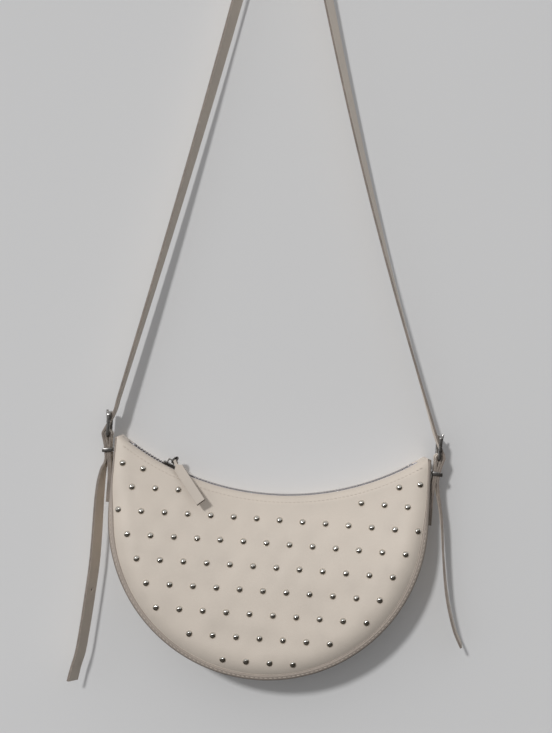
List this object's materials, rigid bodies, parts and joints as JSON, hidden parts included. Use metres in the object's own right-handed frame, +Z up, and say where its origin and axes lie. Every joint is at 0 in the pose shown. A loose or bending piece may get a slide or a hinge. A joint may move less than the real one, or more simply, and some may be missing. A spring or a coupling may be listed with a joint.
{
  "type": "half moon bag",
  "caption": "Half moon leather shoulder bag with a studded front, a curved top zip with a leather pull, and a buckled strap, shown hanging.",
  "frame": {"origin": "underside of the strap at its highest point, where it lies over a peg", "axes": "+Z up, +X to the right seen from the front, +Y from the front to the back; the bag hangs a little tilted about Y, as in the picture"},
  "size_m": [0.3426, 0.0587, 0.7567],
  "materials": {
    "cream_leather": "satin",
    "lining_cloth": "matte",
    "stud_metal": "polished",
    "zip_tape_cloth": "matte",
    "zip_metal": "satin",
    "buckle_metal": "polished"
  },
  "bodies": {
    "bag": {"front_panel": "cream_leather", "back_panel": "cream_leather", "gusset": "cream_leather", "tab_left": "cream_leather", "tab_right": "cream_leather", "shoulder_strap": "cream_leather", "front_lining": "lining_cloth", "back_lining": "lining_cloth", "gusset_lining": "lining_cloth", "studs": "stud_metal", "zip_tape_front": "zip_tape_cloth", "zip_tape_back": "zip_tape_cloth", "zip_teeth_front": "zip_metal", "zip_teeth_back": "zip_metal", "zip_top_stops": "zip_metal", "zip_bottom_stop": "zip_metal", "buckle_left": "buckle_metal", "buckle_right": "buckle_metal"},
    "zip_slider": {"slider_body": "zip_metal"},
    "puller": {"puller_ring": "zip_metal"},
    "pull": {"pull_tab": "cream_leather"},
    "buckle_prong_left": {"prong_left": "buckle_metal"},
    "buckle_prong_right": {"prong_right": "buckle_metal"},
    "strap_keeper_left": {"keeper_left": "buckle_metal"},
    "strap_keeper_right": {"keeper_right": "buckle_metal"}
  },
  "joints": [
    {"name": "zip_slide", "type": "hinge", "parent": "bag", "child": "zip_slider", "pos_m": [0.00106, 0, -0.35391], "axis": [0, 1, 0], "range_deg": [-52.4, 6.8], "deforming": ["zip_teeth_front", "zip_teeth_back", "zip_tape_front", "zip_tape_back"]},
    {"name": "puller_swing", "type": "hinge", "parent": "zip_slider", "child": "puller", "pos_m": [-0.10373, 0, -0.5591], "axis": [0, 1, 0], "range_deg": [-80, 0]},
    {"name": "pull_swing", "type": "hinge", "parent": "puller", "child": "pull", "pos_m": [-0.09966, -0.0032, -0.55837], "axis": [-0.8008, 0, -0.599], "range_deg": [0, 60]},
    {"name": "prong_left_swing", "type": "hinge", "parent": "bag", "child": "buckle_prong_left", "pos_m": [-0.15951, 0, -0.53323], "axis": [0, -1, 0], "range_deg": [0, 5]},
    {"name": "prong_right_swing", "type": "hinge", "parent": "bag", "child": "buckle_prong_right", "pos_m": [0.13371, 0, -0.55477], "axis": [0, 1, 0], "range_deg": [0, 5]},
    {"name": "keeper_left_slide", "type": "slide", "parent": "bag", "child": "strap_keeper_left", "axis": [0.0496, 0, -0.9988], "range_m": [-0.003, 0.0025]},
    {"name": "keeper_right_slide", "type": "slide", "parent": "bag", "child": "strap_keeper_right", "axis": [-0.195, 0, -0.9808], "range_m": [-0.003, 0.004]}
  ]
}
